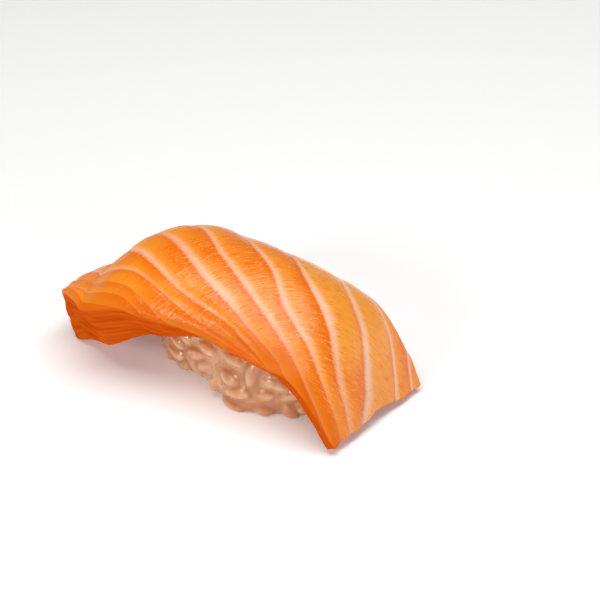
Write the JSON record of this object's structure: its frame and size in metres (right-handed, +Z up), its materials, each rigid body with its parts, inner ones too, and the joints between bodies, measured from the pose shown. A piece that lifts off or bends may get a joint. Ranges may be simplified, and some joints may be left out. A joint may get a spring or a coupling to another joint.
{
  "type": "salmon nigiri",
  "caption": "Thick slice of raw salmon with pale fat lines, draped over a hand-pressed oblong of cooked rice, resting on the rice's flat foot.",
  "frame": {"origin": "middle of the rice's flat foot, on the surface it stands on", "axes": "+X along the slice from its thick end to its thin end, +Y across it towards the back, +Z up"},
  "size_m": [0.0829, 0.0422, 0.032],
  "materials": {
    "cooked_rice": "moist translucent cooked grains with soft highlights",
    "salmon_flesh": "wet orange flesh with feathered cream fat lines across the top"
  },
  "bodies": {
    "root": {"rice": "cooked_rice", "salmon": "salmon_flesh"}
  },
  "joints": []
}
